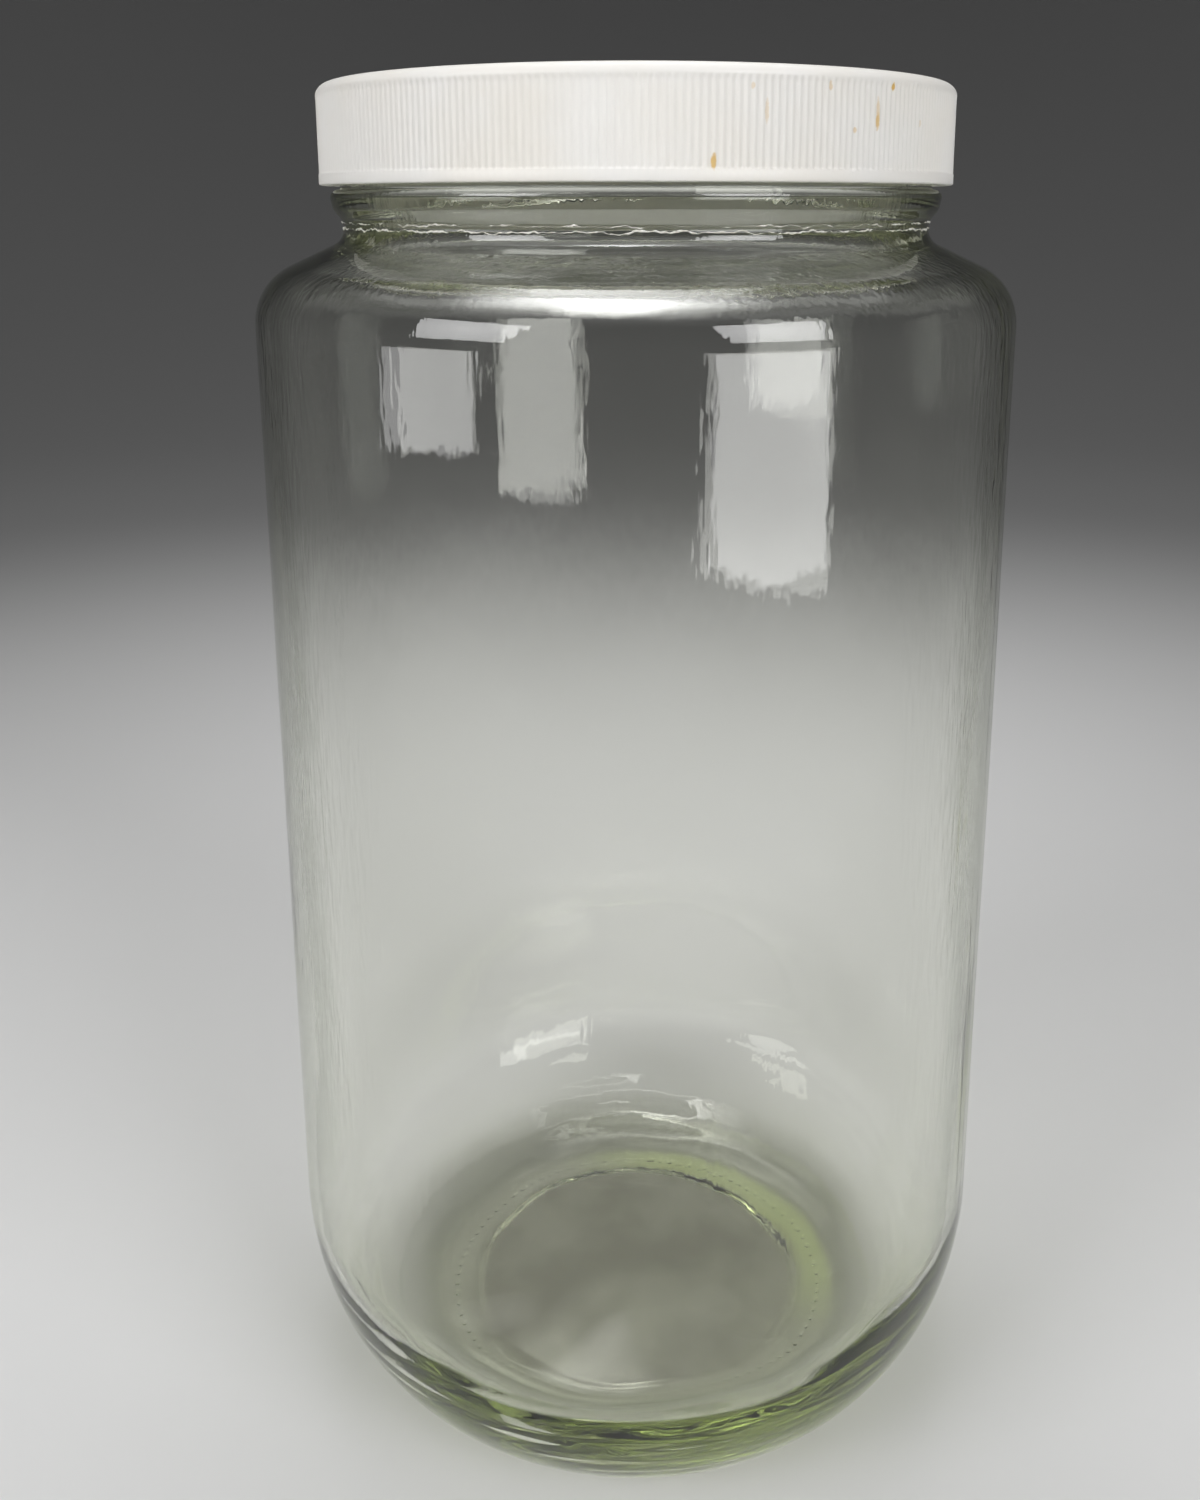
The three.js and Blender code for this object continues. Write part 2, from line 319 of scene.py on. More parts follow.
def rounded_profile(corners):
    """Points (radius, height) through corners of (radius, height, rounding), each rounded by an arc."""
    points = []
    for i, (r, z, rounding) in enumerate(corners):
        corner = np.array([r, z])
        if rounding == 0:
            points.append(corner)
            continue
        before = np.array(corners[i - 1][:2]) - corner
        after = np.array(corners[i + 1][:2]) - corner
        before /= np.linalg.norm(before)
        after /= np.linalg.norm(after)
        half = math.acos(np.clip(before @ after, -1, 1)) / 2
        middle = (before + after) / np.linalg.norm(before + after)
        centre = corner + middle * rounding / math.sin(half)
        turn = math.pi - 2 * half
        side = np.sign(before[0] * after[1] - before[1] * after[0])
        first = math.atan2(-middle[1], -middle[0]) + side * turn / 2
        arc_step = ARC_STEP if rounding > SMALL_ARC_RADIUS else SMALL_ARC_STEP
        steps = max(ARC_LEAST_STEPS, math.ceil(turn / arc_step))
        for k in range(steps + 1):
            angle = first - side * turn * k / steps
            points.append(centre + rounding * np.array([math.cos(angle), math.sin(angle)]))
    return np.array(points)


def heel_arc(r_low, z_low, r_high, z_high):
    """A quarter ellipse from the floor up to the wall."""
    angle = np.linspace(0, math.pi / 2, HEEL_STEPS + 1)
    r = r_low + (r_high - r_low) * np.sin(angle)
    z = z_high - (z_high - z_low) * np.cos(angle)
    return np.stack([r, z], axis=1)


def dome(edge_r, edge_z, rise):
    """A shallow dome from its crown on the axis down to its edge, the edge point left out."""
    share = np.arange(DOME_STEPS) / DOME_STEPS
    return np.stack([edge_r * share, edge_z + rise * (1 - share ** 2)], axis=1)


def subdivide(profile, longest):
    """The profile with points added, so that no step is longer than longest."""
    points = [profile[:1]]
    for a, b in zip(profile[:-1], profile[1:]):
        steps = max(1, math.ceil(np.linalg.norm(b - a) / longest - SAME))
        share = np.linspace(0, 1, steps + 1)[1:, None]
        points.append(a + (b - a) * share)
    return np.concatenate(points)


def profile_normals(profile):
    """The direction out of the material at each point of a profile."""
    along = np.gradient(profile, axis=0)
    along /= np.linalg.norm(along, axis=1, keepdims=True)
    return np.stack([along[:, 1], -along[:, 0]], axis=1)


def smooth(low, high, x):
    """0 below low, 1 above high and a smooth step between them."""
    t = np.clip((x - low) / (high - low), 0, 1)
    return t * t * (3 - 2 * t)


# Meshes

def mesh_piece(name, points, faces):
    """A smooth-shaded object from points in millimetres."""
    mesh = bpy.data.meshes.new(name)
    mesh.from_pydata((points * MM).tolist(), [], faces)
    mesh.polygons.foreach_set("use_smooth", np.ones(len(mesh.polygons), dtype=bool))
    mesh.update()
    piece = bpy.data.objects.new(name, mesh)
    bpy.context.scene.collection.objects.link(piece)
    return piece


def even_angles(count):
    """Angles that divide a full turn evenly."""
    return np.arange(count) * FULL_TURN / count


def ring_points(r, z, angles):
    """Points round Z, one ring for each row of radii and heights."""
    x = r * np.cos(angles)
    y = r * np.sin(angles)
    return np.stack([x, y, z + np.zeros_like(x)], axis=2).reshape(-1, 3)


def ring_faces(first, rings, sides):
    """Quads between rings of points, which follow each other from the index first on."""
    here = np.arange(sides)
    beside = (here + 1) % sides
    faces = []
    for ring in range(rings - 1):
        low = first + ring * sides
        high = low + sides
        faces += np.stack([low + here, low + beside, high + beside, high + here], axis=1).tolist()
    return faces


def first_cap(pole, ring, sides):
    """Triangles from a pole to the ring after it, which starts at the index ring."""
    return [[pole, ring + (k + 1) % sides, ring + k] for k in range(sides)]


def last_cap(pole, ring, sides):
    """Triangles from a pole to the ring before it, which starts at the index ring."""
    return [[pole, ring + k, ring + (k + 1) % sides] for k in range(sides)]


def revolve(name, r, z, angles):
    """A closed mesh from rows of radii and heights round Z, whose first and last rows are on the axis."""
    rings = len(r) - 2
    sides = len(angles)
    points = ring_points(r[1:-1], z[1:-1], angles)
    poles = np.array([[0, 0, z[0].mean()], [0, 0, z[-1].mean()]])
    faces = ring_faces(0, rings, sides)
    faces += first_cap(len(points), 0, sides)
    faces += last_cap(len(points) + 1, (rings - 1) * sides, sides)
    return mesh_piece(name, np.concatenate([points, poles]), faces)


def rows_round(profile, angles):
    """The radii and the heights of a profile, repeated at each angle."""
    flat = np.zeros_like(angles)
    return profile[:, :1] + flat, profile[:, 1:] + flat


def noise_field(r, z, angles, across, along, seed):
    """Smooth noise on rows of points round Z, with cells of across round the jar and along up it."""
    x = r * np.cos(angles) / across + seed
    y = r * np.sin(angles) / across
    height = np.broadcast_to(z / along, x.shape)
    flat = np.stack([x, y, height], axis=2).reshape(-1, 3)
    values = [noise.noise(Vector(p)) for p in flat.tolist()]
    return np.array(values).reshape(x.shape)


def layered_noise(r, z, angles, layers):
    """The sum of layers of noise, each with its height, its two cell sizes and its seed."""
    total = 0
    for height, across, along, seed in layers:
        total = total + height * noise_field(r, z, angles, across, along, seed)
    return total


def thread_height(z, angles, low, turns, root_width, crest_width):
    """How far a helical ridge stands out of its wall, as a share of its depth."""
    height = np.zeros(np.broadcast_shapes(z.shape, angles.shape))
    end = turns * FULL_TURN
    for turn in range(math.ceil(turns)):
        climb = angles + FULL_TURN * turn
        middle = low + THREAD_PITCH * climb / FULL_TURN
        section = 1 - smooth(crest_width / 2, root_width / 2, np.abs(z - middle))
        fade = np.clip(np.minimum(climb, end - climb) / THREAD_RUN_OUT, 0, 1)
        height = np.maximum(height, section * fade)
    return height


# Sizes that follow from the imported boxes

jar_low, jar_high = (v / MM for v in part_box("glass_jar"))
lid_low, lid_high = (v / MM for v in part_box("screw_lid"))
liner_low, liner_high = (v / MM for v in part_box("liner"))
body_r = jar_high.x
rim_z = jar_high.z
skirt_z = lid_low.z
lid_top_z = lid_high.z
lid_r = lid_high.x
liner_r = liner_high.x
inside_r = body_r - BODY_WALL
foot_r = body_r - HEEL_REACH
foot_inside_r = foot_r - FOOT_WIDTH
foot_middle_r = foot_r - FOOT_WIDTH / 2
bore_r = NECK_R - NECK_WALL
waist_r = body_r - SHOULDER_WIDTH
bead_r = NECK_R + BEAD_DEPTH
bead_top_z = skirt_z - SKIRT_GAP
bead_low_z = bead_top_z - BEAD_HEIGHT
waist_z = bead_low_z - WAIST_DROP
thread_low_z = rim_z - THREAD_TOP - THREAD_PITCH * THREAD_TURNS
lid_thread_low_z = thread_low_z - THREAD_PITCH / 2
lid_inside_r = NECK_R + THREAD_DEPTH + THREAD_CLEARANCE
lid_ceiling_z = lid_top_z - LID_TOP


# Glass jar

def shoulder_profile():
    """The outside of the jar from the top of its heel to the ledge on its bead."""
    shoulder_z = waist_z - SHOULDER_WIDTH * math.tan(SHOULDER_SLOPE)
    return rounded_profile([
        (body_r, HEEL_HEIGHT, 0),
        (body_r, shoulder_z, SHOULDER_RADIUS),
        (waist_r, waist_z, WAIST_RADIUS),
        (bead_r - BEAD_TAPER, bead_low_z, BEAD_UNDER_RADIUS),
        (bead_r, bead_top_z, BEAD_RADIUS),
        (NECK_R, bead_top_z, 0),
    ])


def outer_profile():
    """The outside of the jar from the middle of its underside to the inner edge of its rim."""
    step_r = foot_inside_r - FOOT_STEP_WIDTH
    underside = dome(step_r, FOOT_STEP_RISE, PUSH_UP - FOOT_STEP_RISE)
    step_share = np.arange(FOOT_STEPS) / FOOT_STEPS
    foot_step = np.stack([
        step_r + FOOT_STEP_WIDTH * step_share,
        FOOT_STEP_RISE * (1 - smooth(0, 1, step_share)),
    ], axis=1)
    foot = np.array([[foot_inside_r, 0], [foot_r, 0]])
    heel = heel_arc(foot_r, 0, body_r, HEEL_HEIGHT)
    neck = np.array([[NECK_R, bead_top_z], [NECK_R, rim_z - RIM_RADIUS]])
    rim = rounded_profile([
        (NECK_R, bead_top_z, 0),
        (NECK_R, rim_z, RIM_RADIUS),
        (bore_r, rim_z, RIM_RADIUS),
        (bore_r, bead_top_z, 0),
    ])
    # Each part leaves out the points that its neighbour has.
    return np.concatenate([
        underside,
        foot_step,
        subdivide(foot, FOOT_ROW),
        heel[1:],
        subdivide(shoulder_profile(), WALL_ROW)[1:],
        subdivide(neck, THREAD_ROW)[1:],
        rim[2:-1],
    ])


def inner_profile():
    """The inside of the jar from below its rim to the middle of its floor."""
    steepness = math.tan(SHOULDER_SLOPE)
    bend_z = waist_z + (waist_r - bore_r) * steepness - BODY_WALL / math.cos(SHOULDER_SLOPE)
    shoulder_z = bend_z - (inside_r - bore_r) * steepness
    wall = rounded_profile([
        (bore_r, rim_z, 0),
        (bore_r, bend_z, WAIST_RADIUS + BODY_WALL),
        (inside_r, shoulder_z, SHOULDER_RADIUS - BODY_WALL),
        (inside_r, HEEL_HEIGHT, 0),
    ])
    heel = heel_arc(foot_r, BASE_THICKNESS, inside_r, HEEL_HEIGHT)[::-1]
    floor = dome(foot_r, BASE_THICKNESS, PUSH_UP)[::-1]
    return np.concatenate([subdivide(wall, WALL_ROW)[1:], heel[1:], floor])


def jar_angles():
    """Even angles round the jar, with a few more at each seam."""
    lines = np.linspace(-1, 1, SEAM_LINES) * SEAM_WIDTH / body_r
    at_seams = np.concatenate([seam + lines for seam in SEAM_ANGLES])
    return np.unique(np.concatenate([even_angles(JAR_SIDES), at_seams % FULL_TURN]))


def seam_share(angles):
    """How high the seams stand at each angle, as a share of their height."""
    gaps = [np.abs((angles - seam + math.pi) % FULL_TURN - math.pi) for seam in SEAM_ANGLES]
    return 1 - smooth(0, SEAM_WIDTH, np.min(gaps, axis=0) * body_r)


def inside_waves(r, z, angles):
    """How far the blown inside stands off its plain shape, most of all round the thick base."""
    waves = layered_noise(r, z, angles, INNER_WAVES)
    in_base = 1 - smooth(HEEL_HEIGHT * BASE_SHARE, HEEL_HEIGHT, z)
    base_noise = noise_field(r, z, angles, BASE_CELL, BASE_CELL, BASE_SEED)
    waves += BASE_WAVE * in_base * base_noise
    laps = np.sin(FULL_TURN * np.hypot(r - foot_r, z) / LAP_PITCH + LAP_WANDER * base_noise)
    waves += LAP_HEIGHT * in_base * laps * smooth(foot_r - LAP_INSIDE, foot_r + LAP_OUTSIDE, r)
    waves += BASE_TILT * in_base * np.cos(angles - TILT_ANGLE) * r / foot_r
    return waves


def make_jar():
    """The blown glass jar, with its thread, its mould marks and its uneven wall."""
    outer = outer_profile()
    profile = np.concatenate([outer, inner_profile()])
    normals = profile_normals(profile)
    is_outer = (np.arange(len(profile)) < len(outer))[:, None]
    angles = jar_angles()
    r, z = rows_round(profile, angles)

    outside_waves = layered_noise(r, z, angles, OUTER_WAVES)
    outside_waves -= outside_waves[:len(outer)].max() + SEAM_HEIGHT
    waves = np.where(is_outer, outside_waves, inside_waves(r, z, angles))
    above_foot = smooth(*CALM_FOOT, z)
    below_neck = 1 - smooth(waist_z - CALM_BELOW_WAIST, waist_z + CALM_ABOVE_WAIST, z)
    push = waves * np.where(is_outer, above_foot, 1) * smooth(0, CALM_AXIS, r) * below_neck
    push += SEAM_HEIGHT * seam_share(angles) * above_foot * below_neck * is_outer
    r = r + push * normals[:, :1]
    z = z + push * normals[:, 1:]

    on_neck = is_outer & (z > bead_top_z) & (r > NECK_R - RIM_RADIUS)
    ridge = thread_height(z, angles, thread_low_z, THREAD_TURNS, THREAD_WIDTH, THREAD_CREST)
    r = r + THREAD_DEPTH * ridge * on_neck

    off_middle = np.abs(r - foot_middle_r)
    dot = np.clip(np.cos(angles * STIPPLE_COUNT), 0, 1) ** 2
    across_foot = 1 - smooth(0, STIPPLE_WIDTH / 2, off_middle)
    around_foot = 1 - smooth(FOOT_WIDTH / 2, FOOT_WIDTH, off_middle)
    under = is_outer & (z < PUSH_UP)
    z = z + STIPPLE_HEIGHT * around_foot * (1 - dot * across_foot) * under
    return revolve("jar_glass", r, z, angles)


def make_parting_line():
    """The rough, broken thread of glass round the waist, where the parts of the mould met."""
    profile = shoulder_profile()
    profile = profile[profile[:, 1] <= bead_low_z]
    angles = even_angles(PARTING_STEPS)
    around = even_angles(PARTING_SIDES)
    points = []
    faces = []
    for strand, (lift, gaps) in enumerate(PARTING_STRANDS):
        place_r = np.full((1, 1), NECK_R)
        place_z = np.full((1, 1), PARTING_STRAND_SHIFT * strand)
        z = waist_z + lift + PARTING_WANDER * layered_noise(place_r, place_z, angles, PARTING_WANDERS)[0]
        r = np.interp(z, profile[:, 1], profile[:, 0])
        fullness = PARTING_FULLNESS + layered_noise(place_r, place_z, angles, PARTING_WIDTHS)[0] - gaps
        width = PARTING_THICKNESS * np.clip(fullness, PARTING_THINNEST, PARTING_THICKEST)
        tube_r = r[:, None] + width[:, None] * np.cos(around)
        tube_z = z[:, None] + width[:, None] * np.sin(around)
        first = len(points) * PARTING_STEPS * PARTING_SIDES
        points.append(ring_points(tube_r, tube_z, angles[:, None]))
        for i in range(PARTING_STEPS):
            here = first + i * PARTING_SIDES
            ahead = first + (i + 1) % PARTING_STEPS * PARTING_SIDES
            for k in range(PARTING_SIDES):
                beside = (k + 1) % PARTING_SIDES
                faces.append((here + k, ahead + k, ahead + beside, here + beside))
    return mesh_piece("parting_line", np.concatenate(points), faces)


# Lid and liner

def lid_profile(rib_low, rib_high):
    """The lid from the middle of its ceiling round the skirt to the middle of its top.

    Its unrounded points give rows to the inner thread and to the ends of the ribs, and keep the shading of
    a flat stretch flat beside a rounding.
    """
    thread_high_z = lid_thread_low_z + THREAD_PITCH * THREAD_TURNS
    half_thread = LID_THREAD_WIDTH / 2
    thread_rows = np.linspace(thread_high_z + half_thread, lid_thread_low_z - half_thread, LID_THREAD_ROWS)
    rib_rows = (
        skirt_z + LID_SMALL_RADIUS + FLAT_GUARD,
        rib_low - RIB_LOW_FADE,
        rib_low - RIB_LOW_FADE / 2,
        rib_low,
        rib_low + FLAT_GUARD,
        rib_high - FLAT_GUARD,
        rib_high,
    )
    panel_r = lid_r - PANEL_MARGIN
    panel_edge_r = panel_r - PANEL_RECESS
    panel_z = lid_top_z - PANEL_RECESS
    return rounded_profile([
        (0, lid_ceiling_z, 0),
        (lid_inside_r, lid_ceiling_z, LID_SMALL_RADIUS),
        *[(lid_inside_r, z, 0) for z in thread_rows],
        (lid_inside_r, skirt_z, LID_SMALL_RADIUS),
        (lid_r, skirt_z, LID_SMALL_RADIUS),
        *[(lid_r, z, 0) for z in rib_rows],
        (lid_r, lid_top_z, LID_EDGE_RADIUS),
        (lid_r - LID_EDGE_RADIUS - FLAT_GUARD, lid_top_z, 0),
        (panel_r + LID_SMALL_RADIUS + FLAT_GUARD, lid_top_z, 0),
        (panel_r, lid_top_z, LID_SMALL_RADIUS),
        (panel_edge_r, panel_z, LID_SMALL_RADIUS),
        (panel_edge_r - LID_SMALL_RADIUS - FLAT_GUARD, panel_z, 0),
        (0, panel_z, 0),
    ])


def make_lid():
    """The moulded lid: ribbed skirt, plain band, raised ring round the top panel and the inner thread."""
    rib_low = skirt_z + RIB_BAND
    rib_high = lid_top_z - LID_EDGE_RADIUS - RIB_TOP_MARGIN
    rows = lid_profile(rib_low, rib_high)
    inner_rows = np.argmax(rows[:, 1] < skirt_z + SAME)
    is_inner = (np.arange(len(rows)) < inner_rows)[:, None]
    angles = even_angles(RIB_COUNT * RIB_SAMPLES)
    r, z = rows_round(rows, angles)

    zone = smooth(rib_low - RIB_LOW_FADE, rib_low, z)
    zone = zone * (1 - smooth(rib_high, rib_high + RIB_TOP_FADE, z))
    on_skirt = ~is_inner & (r > lid_inside_r + SKIRT_WALL / 2)
    groove = 0.5 - 0.5 * np.cos(angles * RIB_COUNT)
    r = r - (RIB_RELIEF + RIB_DEPTH * groove) * zone * on_skirt

    on_wall = is_inner & (np.abs(r - lid_inside_r) < LID_SMALL_RADIUS)
    ridge = thread_height(
        z, angles, lid_thread_low_z, THREAD_TURNS, LID_THREAD_WIDTH, LID_THREAD_CREST)
    r = r - THREAD_DEPTH * ridge * on_wall
    return revolve("lid_shell", r, z, angles)


def make_liner():
    """The liner disc, with rounded edges and the rim's print on its underside."""
    profile = rounded_profile([
        (0, liner_low.z, 0),
        (liner_r, liner_low.z, LINER_EDGE_RADIUS),
        (liner_r, liner_high.z, LINER_EDGE_RADIUS),
        (0, liner_high.z, 0),
    ])
    angles = even_angles(LINER_SIDES)
    r, z = rows_round(subdivide(profile, LINER_ROW), angles)
    rim_middle = (NECK_R + bore_r) / 2
    half_print = NECK_WALL / 2
    pressed = 1 - smooth(half_print * LINER_PRESS_FLAT, half_print, np.abs(r - rim_middle))
    z = z + LINER_PRESS * pressed * (z < (liner_low.z + liner_high.z) / 2)
    return revolve("liner_disc", r, z, angles)


# Materials

FADE_OUT = (1.0, 0.0)


def metres(zone, start=0):
    """A zone of two lengths in millimetres, counted from start, in metres."""
    return tuple((start + edge) * MM for edge in zone)


class Nodes:
    """A node tree, and short ways to add nodes to it."""

    def __init__(self, tree):
        self.tree = tree

    def add(self, kind, **settings):
        node = self.tree.nodes.new(kind)
        for key, value in settings.items():
            setattr(node, key, value)
        return node

    def link(self, source, target):
        self.tree.links.new(source, target)

    def feed(self, target, value):
        if isinstance(value, bpy.types.NodeSocket):
            self.link(value, target)
        else:
            target.default_value = value

    def math(self, operation, a, b=0.0):
        node = self.add("ShaderNodeMath", operation=operation)
        self.feed(node.inputs[0], a)
        self.feed(node.inputs[1], b)
        return node.outputs[0]

    def times(self, a, b):
        return self.math("MULTIPLY", a, b)

    def plus(self, a, b):
        return self.math("ADD", a, b)

    def minus(self, a, b):
        return self.math("SUBTRACT", a, b)

    def step(self, value, ends, results=(0.0, 1.0)):
        """A smooth step between two ends of the value, from the first result to the second."""
        node = self.add("ShaderNodeMapRange", interpolation_type="SMOOTHSTEP")
        self.feed(node.inputs["Value"], value)
        node.inputs["From Min"].default_value, node.inputs["From Max"].default_value = ends
        node.inputs["To Min"].default_value, node.inputs["To Max"].default_value = results
        return node.outputs["Result"]

    def mix(self, share, a, b):
        node = self.add("ShaderNodeMix", data_type="RGBA")
        self.feed(node.inputs["Factor"], share)
        self.feed(node.inputs["A"], a)
        self.feed(node.inputs["B"], b)
        return node.outputs["Result"]

    def split(self, vector):
        node = self.add("ShaderNodeSeparateXYZ")
        self.link(vector, node.inputs[0])
        return node.outputs


class Material(Nodes):
    """A new material with a Principled shader."""

    def __init__(self, name):
        self.material = bpy.data.materials.new(name)
        self.material.use_nodes = True
        super().__init__(self.material.node_tree)
        self.shader = self.tree.nodes["Principled BSDF"]
        self.output = self.tree.nodes["Material Output"]
        self.place = self.add("ShaderNodeTexCoord").outputs["Object"]

    def set(self, name, value):
        self.feed(self.shader.inputs[name], value)

    def noise(self, scale_and_detail, stretch=None):
        """Noise at the piece's own coordinates, which stretch scales first."""
        vector = self.place
        if stretch:
            mapping = self.add("ShaderNodeMapping")
            self.link(vector, mapping.inputs["Vector"])
            mapping.inputs["Scale"].default_value = stretch
            vector = mapping.outputs["Vector"]
        node = self.add("ShaderNodeTexNoise")
        self.link(vector, node.inputs["Vector"])
        node.inputs["Scale"].default_value, node.inputs["Detail"].default_value = scale_and_detail
        return node.outputs["Fac"]


def glass_relief(m, z):
    """Fine upright ripples and patches of orange peel, which are calmer on the lower wall."""
    patches = m.step(m.noise(PEEL_PATCH_NOISE), PEEL_PATCH_RANGE, PEEL_HEIGHTS)
    peel = m.times(m.noise(PEEL_NOISE, PEEL_STRETCH), patches)
    ripple = m.times(m.noise(RIPPLE_NOISE, RIPPLE_STRETCH), RIPPLE_HEIGHT)
    above_base = m.step(z, metres(RELIEF_ZONE), RELIEF_SHARES)
    bump = m.add("ShaderNodeBump")
    bump.inputs["Strength"].default_value = 1.0
    bump.inputs["Distance"].default_value = 1.0
    m.link(m.times(m.plus(peel, ripple), above_base), bump.inputs["Height"])
    m.set("Normal", bump.outputs["Normal"])


def underside_painted_light(m, x, y, r):
    """Painted shade as a cloudy grey disc inside the foot ring, and the ring itself with painted light,
    green towards the back right.
    """
    uneven = m.times(m.minus(m.noise(DISC_EDGE_NOISE), 0.5), DISC_EDGE_UNEVEN * MM)
    in_disc = m.step(m.plus(r, uneven), metres(DISC_EDGE_ZONE, foot_inside_r), FADE_OUT)
    painted_light_share = m.step(m.math("DIVIDE", m.plus(x, y), r), FOOT_PAINTED_LIGHT_RANGE)
    foot_painted_shade_and_light = m.mix(painted_light_share, FOOT_PAINTED_SHADE, FOOT_PAINTED_LIGHT)
    clouds = m.step(m.noise(DISC_CLOUD_NOISE), DISC_CLOUD_RANGE)
    disc = m.mix(clouds, DISC_PAINTED_SHADE, DISC_PALE_PAINTED_SHADE)
    return m.mix(in_disc, foot_painted_shade_and_light, disc)


def glass_tint_and_painted_light(m, x, y, z):
    """Clear on the wall and grey at the heel, with painted shade where it is seen edge-on, olive at the
    heel, and painted shade and light on the underside.
    """
    r = m.math("SQRT", m.plus(m.times(x, x), m.times(y, y)))
    facing = m.add("ShaderNodeLayerWeight").outputs["Facing"]
    off_base = m.step(r, metres(OFF_BASE_ZONE, foot_r))
    heel = m.times(m.step(z, metres(HEEL_ZONE), FADE_OUT), off_base)
    # Painted shade, olive, where the heel is seen edge-on
    heel_painted_shade = m.times(m.step(z, metres(HEEL_EDGE_PAINTED_SHADE_ZONE), FADE_OUT), off_base)
    heel_painted_shade = m.times(heel_painted_shade, m.step(facing, HEEL_EDGE_PAINTED_SHADE_RANGE))
    underside = m.step(z, metres(UNDERSIDE_PAINT_ZONE, PUSH_UP), FADE_OUT)
    # Painted shade and light on the underside
    tint = m.mix(underside, CLEAR_TINT, underside_painted_light(m, x, y, r))
    tint = m.mix(heel, tint, HEEL_TINT)
    # Painted shade where the glass is seen edge-on
    tint = m.mix(m.step(facing, GRAZING_PAINTED_SHADE_RANGE), tint, GRAZING_PAINTED_SHADE)
    return m.mix(heel_painted_shade, tint, HEEL_EDGE_PAINTED_SHADE)


def glass_material():
    """Clear bottle glass, olive where it is thick, with painted shade where it is seen edge-on and under the
    base, painted light on the foot ring, a fine relief and faint smears.
    """
    m = Material("clear_glass")
    x, y, z = m.split(m.place)
    glass_relief(m, z)
    m.set("Base Color", glass_tint_and_painted_light(m, x, y, z))
    m.set("Roughness", m.step(m.noise(SMEAR_NOISE, SMEAR_STRETCH), SMEAR_RANGE, SMEAR_ROUGHNESS))
    m.set("IOR", GLASS_IOR)
    m.set("Transmission Weight", 1.0)
    absorb = m.add("ShaderNodeVolumeAbsorption")
    absorb.inputs["Color"].default_value = GLASS_MASS
    absorb.inputs["Density"].default_value = GLASS_DENSITY
    m.link(absorb.outputs["Volume"], m.output.inputs["Volume"])
    shadow = m.add("ShaderNodeBsdfTransparent")
    shadow.inputs["Color"].default_value = GLASS_SHADOW
    surface = m.add("ShaderNodeMixShader")
    m.link(m.add("ShaderNodeLightPath").outputs["Is Shadow Ray"], surface.inputs["Fac"])
    m.link(m.shader.outputs[0], surface.inputs[1])
    m.link(shadow.outputs[0], surface.inputs[2])
    m.link(surface.outputs[0], m.output.inputs["Surface"])
    return m.material


def parting_material():
    """Glass that is rough and whitish, as on a chipped edge."""
    m = Material("rough_glass")
    grain = m.step(m.noise(ROUGH_GLASS_NOISE), ROUGH_GLASS_RANGE)
    m.set("Base Color", m.mix(grain, *ROUGH_GLASS_COLOURS))
    m.set("Roughness", ROUGH_GLASS_ROUGHNESS)
    m.set("IOR", GLASS_IOR)
    return m.material


def lid_material():
    """Warm white moulded plastic, a little yellowed, with a few brown drips."""
    m = Material("white_plastic")
    blotches = m.step(m.noise(PLASTIC_BLOTCH_NOISE), PLASTIC_BLOTCH_RANGE)
    colour = m.mix(blotches, *PLASTIC_COLOURS)
    x, y, z = m.split(m.place)
    angle = m.math("ARCTAN2", x, m.times(y, -1.0))
    ragged = m.times(m.minus(m.noise(STAIN_RAGGED_NOISE), 0.5), STAIN_RAGGEDNESS)
    for degrees, drop, length, width, strength in STAINS:
        middle_z = (lid_top_z - drop - length / 2) * MM
        across = m.times(m.minus(angle, math.radians(degrees)), lid_r / (width / 2))
        along = m.math("DIVIDE", m.minus(z, middle_z), length / 2 * MM)
        far = m.plus(m.times(across, across), m.times(along, along))
        share = m.step(m.plus(far, ragged), STAIN_EDGE, (strength, 0.0))
        colour = m.mix(share, colour, STAIN_COLOUR)
    m.set("Base Color", colour)
    m.set("Roughness", m.step(m.noise(PLASTIC_GRAIN_NOISE), PLASTIC_GRAIN_RANGE, PLASTIC_ROUGHNESS))
    m.set("Specular IOR Level", PLASTIC_SPECULAR)
    return m.material


def liner_material():
    """White foam board with a fine, dull surface."""
    m = Material("liner_foam")
    m.set("Base Color", m.mix(m.step(m.noise(FOAM_NOISE), FOAM_RANGE), *FOAM_COLOURS))
    m.set("Roughness", FOAM_ROUGHNESS)
    return m.material


def floor_material():
    """Dull grey, with a painted pool of light: pale round the jar and darker far from it."""
    m = Material("pale_floor")
    far = m.add("ShaderNodeVectorMath", operation="LENGTH")
    m.link(m.place, far.inputs[0])
    # Painted pool of light: pale round the jar, darker far out
    share = m.step(far.outputs["Value"], metres(FLOOR_PAINTED_POOL_ZONE))
    m.set("Base Color", m.mix(share, FLOOR_COLOUR, BACKDROP_COLOUR))
    m.set("Roughness", FLOOR_ROUGHNESS)
    m.set("Specular IOR Level", 0.0)
    return m.material


# Pieces

def dress(piece, body, material, node=None):
    """Gives a piece its material and its body, and puts it in its CAD node's place if it has one."""
    piece.data.materials.append(material)
    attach(piece, body)
    if node:
        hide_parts(node)


jar = make_jar()
dress(jar, "jar", glass_material(), "glass_jar")
dress(make_parting_line(), "jar", parting_material())
dress(make_lid(), "lid", lid_material(), "screw_lid")
dress(make_liner(), "liner", liner_material(), "liner")


# Studio

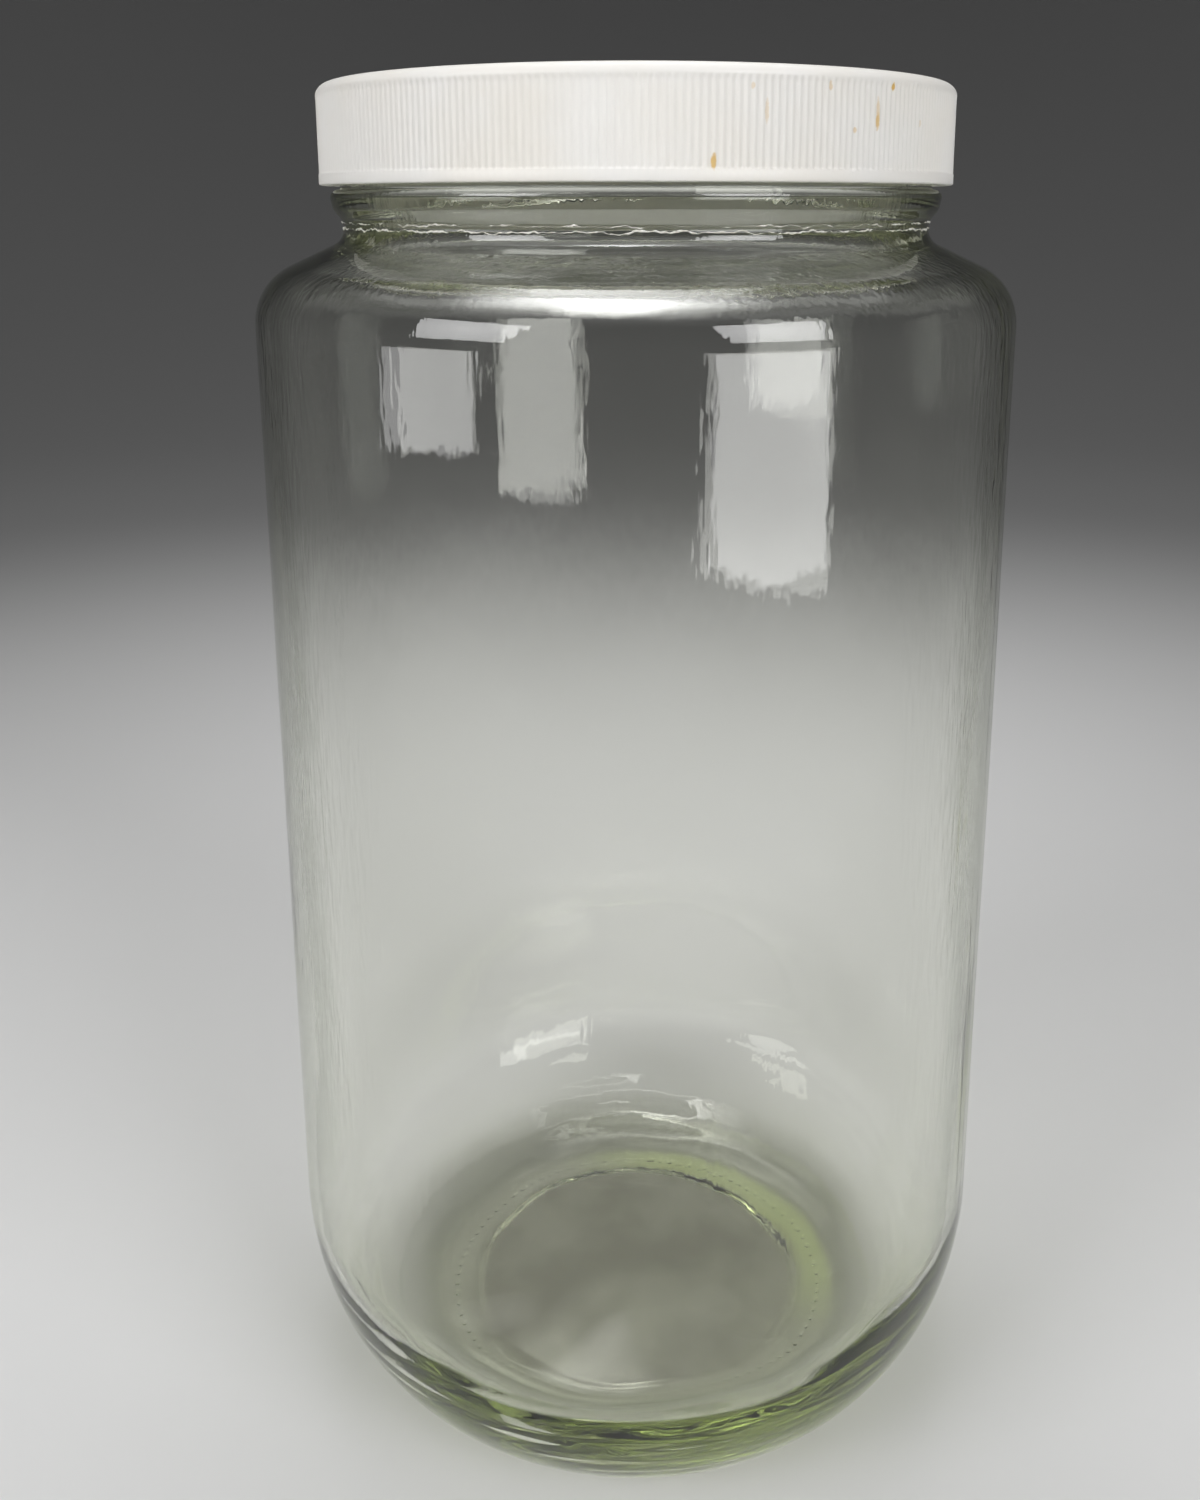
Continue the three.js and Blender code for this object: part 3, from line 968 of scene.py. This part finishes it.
def make_studio():
    """A pale round floor that curves up into a backdrop on every side."""
    arc = np.linspace(0, math.pi / 2, COVE_RINGS)
    flat_r = np.linspace(FLOOR_FIRST_R, FLOOR_R, FLOOR_RINGS, endpoint=False)
    cove_r = FLOOR_R + COVE_R * np.sin(arc)
    cove_z = COVE_R * (1 - np.cos(arc))
    r = np.concatenate([flat_r, cove_r, [FLOOR_R + COVE_R]])[:, None]
    z = np.concatenate([np.zeros(FLOOR_RINGS), cove_z, [BACKDROP_HEIGHT]])[:, None]
    # Angles that run backwards turn the faces towards the jar.
    points = ring_points(r, z, -even_angles(STUDIO_SIDES))
    faces = ring_faces(0, len(r), STUDIO_SIDES) + first_cap(len(points), 0, STUDIO_SIDES)
    studio = mesh_piece("studio_floor", np.concatenate([points, np.zeros((1, 3))]), faces)
    studio.data.materials.append(floor_material())


def make_lamp(name, azimuth, distance, height, width, length, radiance, spread):
    """A soft rectangular lamp that faces the jar. Its azimuth is counted from the front towards +X."""
    light = bpy.data.lights.new(name, "AREA")
    light.shape = "RECTANGLE"
    light.size = width
    light.size_y = length
    light.energy = radiance * math.pi * width * length
    light.spread = math.radians(spread)
    lamp = bpy.data.objects.new(name, light)
    angle = math.radians(azimuth)
    lamp.location = (distance * math.sin(angle), -distance * math.cos(angle), height)
    lamp.rotation_euler = (LAMP_AIM - lamp.location).to_track_quat("-Z", "Y").to_euler()
    lamp.visible_camera = False
    lamp.visible_transmission = False
    bpy.context.scene.collection.objects.link(lamp)
    return lamp


def mirror_only(lamp, soft_edge):
    """Makes a lamp light nothing, and show only where it is mirrored, with a soft edge."""
    lamp.visible_diffuse = False
    lamp.visible_transmission = True
    lamp.data.use_nodes = True
    n = Nodes(lamp.data.node_tree)
    path = n.add("ShaderNodeLightPath")
    strength = n.math("GREATER_THAN", path.outputs["Glossy Depth"], 0.5)
    across, along, _ = n.split(n.add("ShaderNodeNewGeometry").outputs["Parametric"])
    for direction in (across, along):
        from_edge = n.math("PINGPONG", direction, 0.5)
        strength = n.times(strength, n.step(from_edge, (0.0, soft_edge)))
    n.link(strength, n.tree.nodes["Emission"].inputs["Strength"])


def make_panel(piece, name, *values):
    """A lamp overhead that shows only where one piece mirrors it."""
    panel = make_lamp(name, *values)
    mirror_only(panel, PANEL_SOFT_EDGE)
    receivers = bpy.data.collections.new(name + "_receivers")
    receivers.objects.link(piece)
    panel.light_linking.receiver_collection = receivers


def make_card(name, azimuth, distance, low, high, width, radiance):
    """An upright card of light that shows only where it is mirrored."""
    middle = (low + high) / 2
    card = make_lamp(name, azimuth, distance, middle, width, high - low, radiance, CARD_SPREAD)
    card.rotation_euler = (math.pi / 2, 0, math.radians(azimuth))
    mirror_only(card, CARD_SOFT_EDGE)


make_studio()
for lamp_name, lamp_values in SOFTBOXES.items():
    make_lamp(lamp_name, *lamp_values)
mirror_only(make_lamp("glint_lamp", *GLINT), GLINT_SOFT_EDGE)
for panel_name, panel_values in PANELS.items():
    make_panel(jar, panel_name, *panel_values)
for card_name, card_values in CARDS.items():
    make_card(card_name, *card_values)

world = bpy.data.worlds.new("studio_world")
world.use_nodes = True
world.node_tree.nodes["Background"].inputs["Color"].default_value = WORLD_COLOUR
world.node_tree.nodes["Background"].inputs["Strength"].default_value = WORLD_STRENGTH
bpy.context.scene.world = world


# Camera at the photograph's angle

camera_data = bpy.data.cameras.new("camera")
camera_data.sensor_width = SENSOR
camera_data.lens = FOCAL_PIXELS * SENSOR / PHOTO_HEIGHT
camera_data.shift_x = (PHOTO_WIDTH / 2 - AXIS_PIXEL_X) / PHOTO_HEIGHT
camera_data.shift_y = (CENTRE_PIXEL_Y - PHOTO_HEIGHT / 2) / PHOTO_HEIGHT
camera_data.clip_start = NEAR_CLIP
camera = bpy.data.objects.new("camera", camera_data)
camera.location = (0, -CAMERA_BACK, CAMERA_HEIGHT)
camera.rotation_euler = (math.pi / 2 - CAMERA_PITCH, 0, 0)
bpy.context.scene.collection.objects.link(camera)
bpy.context.scene.camera = camera

bpy.context.scene.view_settings.view_transform = "Standard"
bpy.context.scene.cycles.max_bounces = ALL_BOUNCES
bpy.context.scene.cycles.glossy_bounces = GLASS_BOUNCES
bpy.context.scene.cycles.transmission_bounces = GLASS_BOUNCES
